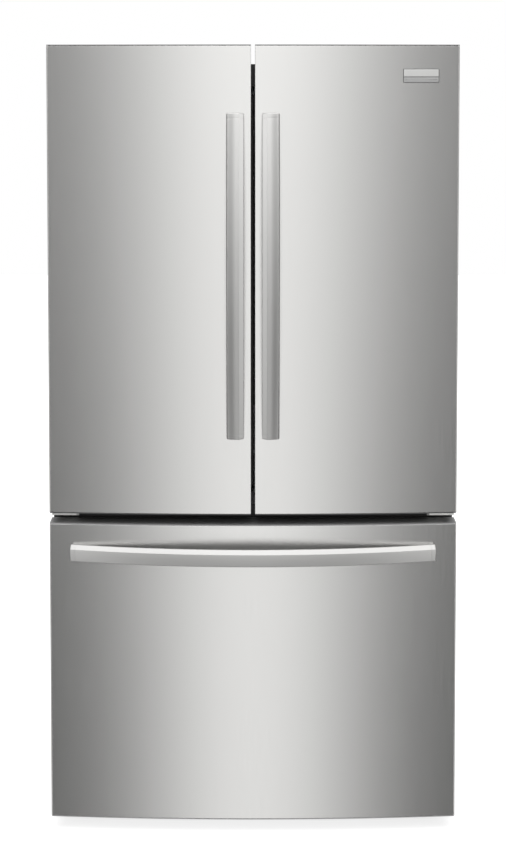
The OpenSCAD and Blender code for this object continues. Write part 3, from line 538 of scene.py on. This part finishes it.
# ---------------------------------------------------------------- moulded and pressed pieces
def ring(x0, x1, y0, y1, inset, r, steps=4):
    """A rectangle with rounded corners, drawn in by an inset."""
    r = max(r - inset, 0.0003)
    x0, x1, y0, y1 = x0 + inset, x1 - inset, y0 + inset, y1 - inset
    out = []
    corners = ((x1 - r, y1 - r, 0), (x0 + r, y1 - r, 90), (x0 + r, y0 + r, 180), (x1 - r, y0 + r, 270))
    for cx, cy, start in corners:
        for k in range(steps + 1):
            a = math.radians(start + 90 * k / steps)
            out.append((cx + r * math.cos(a), cy + r * math.sin(a)))
    return out


def lofted(name, lo, hi, profile, r, mat, body, steps=4):
    """Rounded rectangles one above the other; the profile gives the inset and height of each."""
    rows = [[(x, y, z) for x, y in ring(lo.x, hi.x, lo.y, hi.y, inset, r, steps)] for inset, z in profile]
    bm = bmesh.new()
    verts = grid_faces(bm, rows, close_cols=True)
    bm.faces.new(verts[0])
    bm.faces.new(verts[-1][::-1])
    obj = mesh_object(name, bm, mat, body)
    weigh(obj)
    return obj


def rounded_box(name, lo, hi, r, mat, body):
    lo, hi = Vector(lo), Vector(hi)
    lower = [(r * (1 - math.sin(a)), lo.z + r * (1 - math.cos(a))) for a in [math.pi / 6 * k for k in range(4)]]
    upper = [(inset, hi.z - (z - lo.z)) for inset, z in reversed(lower)]
    return lofted(name, lo, hi, lower + upper, r, mat, body)


def open_tray(name, lo, hi, wall, r, mat, body, grooves=()):
    """An open-topped moulded box with rounded corners; grooves are heights of shallow bands round it."""
    profile = [(0.006, lo.z), (0.0015, lo.z + 0.0008), (0.0004, lo.z + 0.003), (0.0, lo.z + 0.006)]
    for z in grooves:
        profile += [(0.0, z - 0.0035), (0.0010, z - 0.0020), (0.0010, z + 0.0020), (0.0, z + 0.0035)]
    profile += [(0.0, hi.z - 0.0008), (0.0006, hi.z), (wall - 0.0006, hi.z), (wall, hi.z - 0.0008),
                (wall, lo.z + wall + 0.006), (wall + 0.002, lo.z + wall + 0.002), (wall + 0.007, lo.z + wall)]
    return lofted(name, lo, hi, profile, r, mat, body)


def build_bins():
    """Clear door bins and crispers."""
    for side in ("left", "right"):
        lo, hi = node_box(side + "_door_bins")
        body = side + "_door"
        for i, level in enumerate(("lower", "middle", "upper")):
            z0 = lo.z + i * (hi.z - BIN_H - lo.z) / 2
            low, high = Vector((lo.x, lo.y, z0)), Vector((hi.x, hi.y, z0 + BIN_H))
            tray = open_tray("%s_bin_%s" % (side, level), low, high, BIN_WALL, 0.014, CLEAR, body,
                             (z0 + 0.022, z0 + BIN_H - 0.014))
            if i == 0:
                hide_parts(side + "_door_bins")
    for side in ("left", "right"):
        lo, hi = node_box("crisper_" + side)
        body = "crisper_" + side
        front = lo.y + LIP_D
        tray = open_tray(body + "_box", Vector((lo.x, front, lo.z)), hi, BIN_WALL, 0.016, CLEAR, body,
                         (lo.z + 0.030, hi.z - 0.030))
        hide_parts(body)
        rounded_box(body + "_lip", (lo.x + 0.04, lo.y, hi.z - 0.0135),
                    (hi.x - 0.04, front + 0.002, hi.z - 0.0100), 0.0016, TRIM, body)


def build_baskets():
    """The freezer's two baskets, with the rails they hang on."""
    lo, hi = node_box("upper_basket")
    side = hi.x - 0.019
    tray = open_tray("upper_basket_box", Vector((-side, lo.y, lo.z)), Vector((side, hi.y, hi.z)),
                     BIN_WALL, 0.020, BASKET, "upper_basket", [lo.z + 0.022 + 0.018 * k for k in range(4)])
    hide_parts("upper_basket")
    for sign, name in ((-1, "left"), (1, "right")):
        x = sorted((sign * (side - BIN_WALL), sign * hi.x))
        rounded_box("upper_basket_rail_" + name, (x[0], lo.y + 0.012, hi.z - 0.004), (x[1], hi.y - 0.012, hi.z),
                    0.0016, BASKET, "upper_basket")
    lo, hi = node_box("lower_basket")
    side = hi.x - 0.016
    tray = open_tray("lower_basket_box", Vector((-side, lo.y, lo.z)), Vector((side, hi.y, hi.z)),
                     BIN_WALL, 0.024, BASKET, "drawer", [lo.z + 0.030 + 0.030 * k for k in range(8)])
    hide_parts("lower_basket")
    for sign, name in ((-1, "left"), (1, "right")):
        x = sorted((sign * (side - BIN_WALL), sign * hi.x))
        rounded_box("lower_basket_rail_" + name, (x[0], lo.y + 0.012, hi.z - 0.004), (x[1], hi.y - 0.012, hi.z),
                    0.0016, BASKET, "drawer")


# Inset and depth round the section of a magnetic gasket
GASKET_PROFILE = [(0.0020, 0.0), (0.0012, 0.0014), (0.0040, 0.0027), (0.0008, 0.0043), (0.0036, 0.0057),
                  (0.0, 0.0074), (0.0004, 0.0091), (0.0018, 0.0097), (0.0170, 0.0097),
                  (0.0194, 0.0090), (0.0200, 0.0072),
                  (0.0164, 0.0056), (0.0214, 0.0041), (0.0178, 0.0026), (0.0218, 0.0012), (0.0204, 0.0)]


def build_gaskets():
    """Folded rubber sections run round each door in one closed loop."""
    for side, body in (("left_door", "left_door"), ("right_door", "right_door"), ("drawer", "drawer")):
        lo, hi = node_box(side + "_gasket")
        scale = (hi.y - lo.y) / max(depth for _, depth in GASKET_PROFILE)
        rows = [[(x, lo.y + depth * scale, z) for x, z in ring(lo.x, hi.x, lo.z, hi.z, inset, 0.014, 5)]
                for inset, depth in GASKET_PROFILE]
        bm = bmesh.new()
        grid_faces(bm, rows, close_rows=True, close_cols=True)
        obj = mesh_object(side + "_seal", bm, RUBBER, body)
        weigh(obj)
        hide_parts(side + "_gasket")


def build_door_liners():
    """White moulded inner faces with rounded ribs and the ledges under the bins."""
    recess_x, recess_z = HALF_W - 0.036, node_box("top_hinges")[1].z - HINGE_LEAF_T
    for side, sign in (("left", -1), ("right", 1)):
        body = side + "_door"
        lo, hi = node_box(side + "_door_liner")
        gap = min(abs(lo.x), abs(hi.x))
        back = node_box(side + "_door_gasket")[0].y

        def block(name, x0, x1, y0, y1, z0, z1, r, sign=sign, body=body, side=side):
            xs = sorted((sign * x0, sign * x1))
            return rounded_box("%s_liner_%s" % (side, name), (xs[0], y0, z0), (xs[1], y1, z1), r, WHITE, body)

        panel = block("panel", gap, HALF_W, lo.y, back, lo.z, recess_z, 0.0008)
        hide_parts(side + "_door_liner")
        block("panel_top", gap, recess_x, lo.y, back, recess_z - 0.002, hi.z, 0.0008)
        bins_lo, bins_hi = node_box(side + "_door_bins")
        inner = min(abs(bins_lo.x), abs(bins_hi.x)) - 0.001
        outer = max(abs(bins_lo.x), abs(bins_hi.x)) + 0.001
        room_lo, room_hi = node_box("fridge_liner")
        z0, z1 = room_lo.z + LINER_T + 0.020, room_hi.z - LINER_T - 0.020
        block("rib_inner", inner - DIKE_W, inner, back - 0.001, back + DIKE_D, z0, z1, 0.005)
        block("rib_outer", outer, outer + DIKE_W, back - 0.001, back + DIKE_D, z0, z1, 0.005)
        for i, level in enumerate(("lower", "middle", "upper")):
            z = bins_lo.z + i * (bins_hi.z - BIN_H - bins_lo.z) / 2
            for x0, name in ((inner - 0.001, "inner"), (outer - 0.009, "outer")):
                block("ledge_%s_%s" % (name, level), x0, x0 + 0.010, back - 0.001, back + DIKE_D - 0.004,
                      z - 0.010, z, 0.002)
    flip_lo, flip_hi = node_box("flipper_mullion")
    pivot_x, pivot_y = flip_lo.x + 0.006, flip_lo.y + 0.0065
    back = node_box("left_door_gasket")[0].y
    for z, name in ((flip_lo.z - 0.0125, "lower"), (flip_hi.z + 0.0005, "upper")):
        rounded_box("flipper_lug_" + name, (pivot_x - 0.010, back - 0.001, z),
                    (-0.0305, pivot_y + 0.008, z + 0.012), 0.0015, WHITE, "left_door")


def build_fridge_liner():
    """The refrigerator compartment's liner, its corners rounded as a formed sheet's are."""
    lo, hi = node_box("fridge_liner")
    x1, z0, z1, back = hi.x - LINER_T, lo.z + LINER_T, hi.z - LINER_T, hi.y - LINER_T
    r = 0.012
    rows = []
    for inset, y, radius in ((-0.0018, lo.y, 0.0), (0.0, lo.y, r), (0.0, back - r, r),
                             (0.0016, back - 0.0060, r), (0.0060, back - 0.0016, r), (r, back, r)):
        rows.append([(x, y, z) for x, z in ring(-x1, x1, z0, z1, inset, radius, 5)])
    bm = bmesh.new()
    verts = grid_faces(bm, rows, close_cols=True)
    bm.faces.new(verts[-1])
    obj = mesh_object("fridge_liner_sheet", bm, WHITE, "cabinet")
    thick = obj.modifiers.new("sheet", "SOLIDIFY")
    thick.thickness = 0.0015
    thick.offset = 1
    weigh(obj)
    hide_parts("fridge_liner")


def build_covers():
    """Moulded covers over the upper hinges."""
    lo, hi = node_box("hinge_covers")
    width = 0.054
    for sign, name in ((-1, "left"), (1, "right")):
        x = sorted((sign * (hi.x - width), sign * hi.x))
        profile = [(0.0, lo.z), (0.0, hi.z - 0.006), (0.0008, hi.z - 0.0030), (0.0030, hi.z - 0.0008),
                   (0.006, hi.z)]
        cover = lofted("hinge_cover_" + name, Vector((x[0], lo.y, 0)), Vector((x[1], hi.y, 0)), profile,
                       0.008, CAP, "cabinet")
        if sign < 0:
            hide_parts("hinge_covers")


def build_rear_panel():
    """Pressed steel back: a flat border round a sunken field with upright beads, held by screws."""
    lo, hi = node_box("rear_panel")
    border, sunk, slope = 0.035, 0.0011, 0.004
    beads = [-0.27, -0.09, 0.09, 0.27]
    top = 0.0002
    columns = [(lo.x, sunk * 0.4), (lo.x + border, sunk * 0.4), (lo.x + border + slope, sunk)]
    for x in beads:
        columns += [(x - 0.019, sunk), (x - 0.015, top), (x + 0.015, top), (x + 0.019, sunk)]
    columns += [(-x, depth) for x, depth in reversed(columns[:3])]
    bands = [(lo.z, 0), (lo.z + border, 0), (lo.z + border + slope, 1),
             (hi.z - border - slope, 1), (hi.z - border, 0), (hi.z, 0)]
    rows = [[(x, hi.y - (depth if inside else sunk * 0.4), z) for x, depth in columns] for z, inside in bands]
    bm = bmesh.new()
    grid_faces(bm, rows)
    obj = mesh_object("rear_panel_sheet", bm, GALVANISED, "cabinet", smooth=False)
    thick = obj.modifiers.new("sheet", "SOLIDIFY")
    thick.thickness = 0.0004
    thick.offset = -1
    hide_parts("rear_panel")
    places = [(sign * (hi.x - 0.014), lo.z + 0.03 + k * (hi.z - lo.z - 0.06) / 6)
              for sign in (-1, 1) for k in range(7)]
    places += [(-0.28 + k * 0.14, hi.z - 0.014) for k in range(5)]
    # Radius and depth from the rim of a screw's head to the bottom of its socket
    head = ((0.0048, 0.0007), (0.0042, 0.0002), (0.0030, 0.0), (0.0016, 0.0), (0.0012, 0.0006))
    angles = [math.pi / 8 * k for k in range(16)]
    for i, (x, z) in enumerate(places):
        bm = bmesh.new()
        rows = [[(x + r * math.cos(a), hi.y - d, z + r * math.sin(a)) for a in angles] for r, d in head]
        verts = grid_faces(bm, rows, close_cols=True)
        bm.faces.new(verts[-1])
        mesh_object("rear_screw_%02d" % i, bm, SLIDE, "cabinet")


# ---------------------------------------------------------------- camera, floor and light
CAMERA_DISTANCE, CAMERA_HEIGHT, CAMERA_TILT = 5.0, 1.689, 4.58   # metres, metres, degrees
CAMERA_LENS, CAMERA_SHIFT = 94.65, -0.2
# Brightness of the room against the angle away from straight ahead, in degrees
AHEAD_LIGHT = [(0, 1.58), (3, 1.52), (6, 1.24), (10, 0.73), (14, 0.37), (18, 0.17), (25, 0.14), (32, 0.70),
               (40, 1.45), (54, 1.55), (64, 0.60), (76, 0.14), (180, 0.32)]
# How strongly the room dims downward, against the same angle
LOW_SHADE = [(0, 0.0), (4, 0.08), (8, 0.40), (12, 0.80), (16, 1.0), (26, 0.95), (32, 0.15), (180, 0.0)]
OVERHEAD_LIGHT, FLOOR_LIGHT = 2.5, 0.7


def build_camera():
    cam = bpy.data.objects.new("camera", bpy.data.cameras.new("camera"))
    bpy.context.scene.collection.objects.link(cam)
    cam.location = (0.0, EDGE_Y - CAMERA_DISTANCE, CAMERA_HEIGHT)
    cam.rotation_euler = (math.radians(90 - CAMERA_TILT), 0.0, 0.0)
    cam.data.lens = CAMERA_LENS
    cam.data.sensor_width = 36.0
    cam.data.shift_y = CAMERA_SHIFT
    cam.data.clip_end = 60.0
    bpy.context.scene.camera = cam


def build_floor():
    bm = bmesh.new()
    bmesh.ops.create_grid(bm, x_segments=1, y_segments=1, size=14.0)
    mesh = bpy.data.meshes.new("floor")
    bm.to_mesh(mesh)
    bm.free()
    floor = bpy.data.objects.new("floor", mesh)
    floor.location = (0, 0, -0.0005)
    mat, tree, bsdf = material("floor_paint", (0.30, 0.30, 0.30), 0.8, Emission_Color=(1, 1, 1, 1),
                               Emission_Strength=0.78)
    fine = add_noise(tree, 40.0, 3.0)
    tint(tree, bsdf, fine, (0.295, 0.295, 0.295), (0.305, 0.305, 0.305))
    mesh.materials.append(mat)
    bpy.context.scene.collection.objects.link(floor)
    floor.visible_glossy = False


def build_world():
    """A pale studio: bright straight ahead and again off to each side, dim between, brightest overhead."""
    world = bpy.data.worlds.new("studio")
    bpy.context.scene.world = world
    world.use_nodes = True
    tree = world.node_tree
    tree.nodes.clear()

    def math_node(operation, *values):
        node = tree.nodes.new("ShaderNodeMath")
        node.operation = operation
        for i, value in enumerate(values):
            if isinstance(value, (int, float)):
                node.inputs[i].default_value = value
            else:
                tree.links.new(value, node.inputs[i])
        return node.outputs["Value"]

    coords = tree.nodes.new("ShaderNodeTexCoord")
    axes = tree.nodes.new("ShaderNodeSeparateXYZ")
    tree.links.new(coords.outputs["Generated"], axes.inputs["Vector"])
    x, y, z = axes.outputs["X"], axes.outputs["Y"], axes.outputs["Z"]
    ahead = math_node("MULTIPLY", y, -1.0)
    across = math_node("DIVIDE", math_node("ARCTAN2", math_node("ABSOLUTE", x), ahead), math.pi)
    down = math_node("MAXIMUM", math_node("MULTIPLY", z, -1.0), 0.0)

    def ramp(steps):
        node = tree.nodes.new("ShaderNodeValToRGB")
        for i, (degrees, value) in enumerate(steps):
            element = node.color_ramp.elements[i] if i < 2 else node.color_ramp.elements.new(degrees / 180)
            element.position = degrees / 180
            element.color = (value, value, value, 1)
        tree.links.new(across, node.inputs["Fac"])
        return node.outputs["Color"]

    up = math_node("MAXIMUM", z, 0.0)
    level = math_node("MULTIPLY", ramp(AHEAD_LIGHT), math_node("MULTIPLY_ADD", up, 1.4, 1.0))
    depth = math_node("MINIMUM", math_node("MULTIPLY", down, 3.2), 0.92)
    shade = math_node("MULTIPLY", ramp(LOW_SHADE), depth)
    level = math_node("MULTIPLY", level, math_node("SUBTRACT", 1.0, shade))
    for side, edges, strength in (("above", (0.58, 0.94), OVERHEAD_LIGHT), ("below", (0.75, 0.95), FLOOR_LIGHT)):
        step = tree.nodes.new("ShaderNodeMapRange")
        step.interpolation_type = "SMOOTHSTEP"
        step.inputs["From Min"].default_value, step.inputs["From Max"].default_value = edges
        tree.links.new(z if side == "above" else down, step.inputs["Value"])
        fade = step.outputs["Result"]
        level = math_node("MULTIPLY_ADD", fade, strength,
                          math_node("MULTIPLY", level, math_node("SUBTRACT", 1.0, fade)))

    light = tree.nodes.new("ShaderNodeBackground")
    light.inputs["Color"].default_value = (1.0, 0.998, 0.992, 1)
    tree.links.new(level, light.inputs["Strength"])
    white = tree.nodes.new("ShaderNodeBackground")
    white.inputs["Color"].default_value = (1, 1, 1, 1)
    path = tree.nodes.new("ShaderNodeLightPath")
    mix = tree.nodes.new("ShaderNodeMixShader")
    tree.links.new(path.outputs["Is Camera Ray"], mix.inputs["Fac"])
    tree.links.new(light.outputs["Background"], mix.inputs[1])
    tree.links.new(white.outputs["Background"], mix.inputs[2])
    out = tree.nodes.new("ShaderNodeOutputWorld")
    tree.links.new(mix.outputs["Shader"], out.inputs["Surface"])


def area_light(name, location, target, size, power):
    data = bpy.data.lights.new(name, "AREA")
    data.shape = "RECTANGLE"
    data.size, data.size_y = size
    data.energy = power
    light = bpy.data.objects.new(name, data)
    light.location = location
    light.rotation_euler = (Vector(target) - Vector(location)).to_track_quat("-Z", "Y").to_euler()
    bpy.context.scene.collection.objects.link(light)


def build_lights():
    area_light("overhead", (0.0, -1.2, 4.2), (0.0, 0.2, 0.4), (3.0, 2.0), 20.0)


build_camera()
dress_cad_nodes()
build_skins()
build_handles()
build_badge()
build_bins()
build_baskets()
build_gaskets()
build_door_liners()
build_fridge_liner()
build_covers()
build_rear_panel()
build_floor()
build_world()
build_lights()
bpy.context.scene.view_settings.view_transform = "Standard"
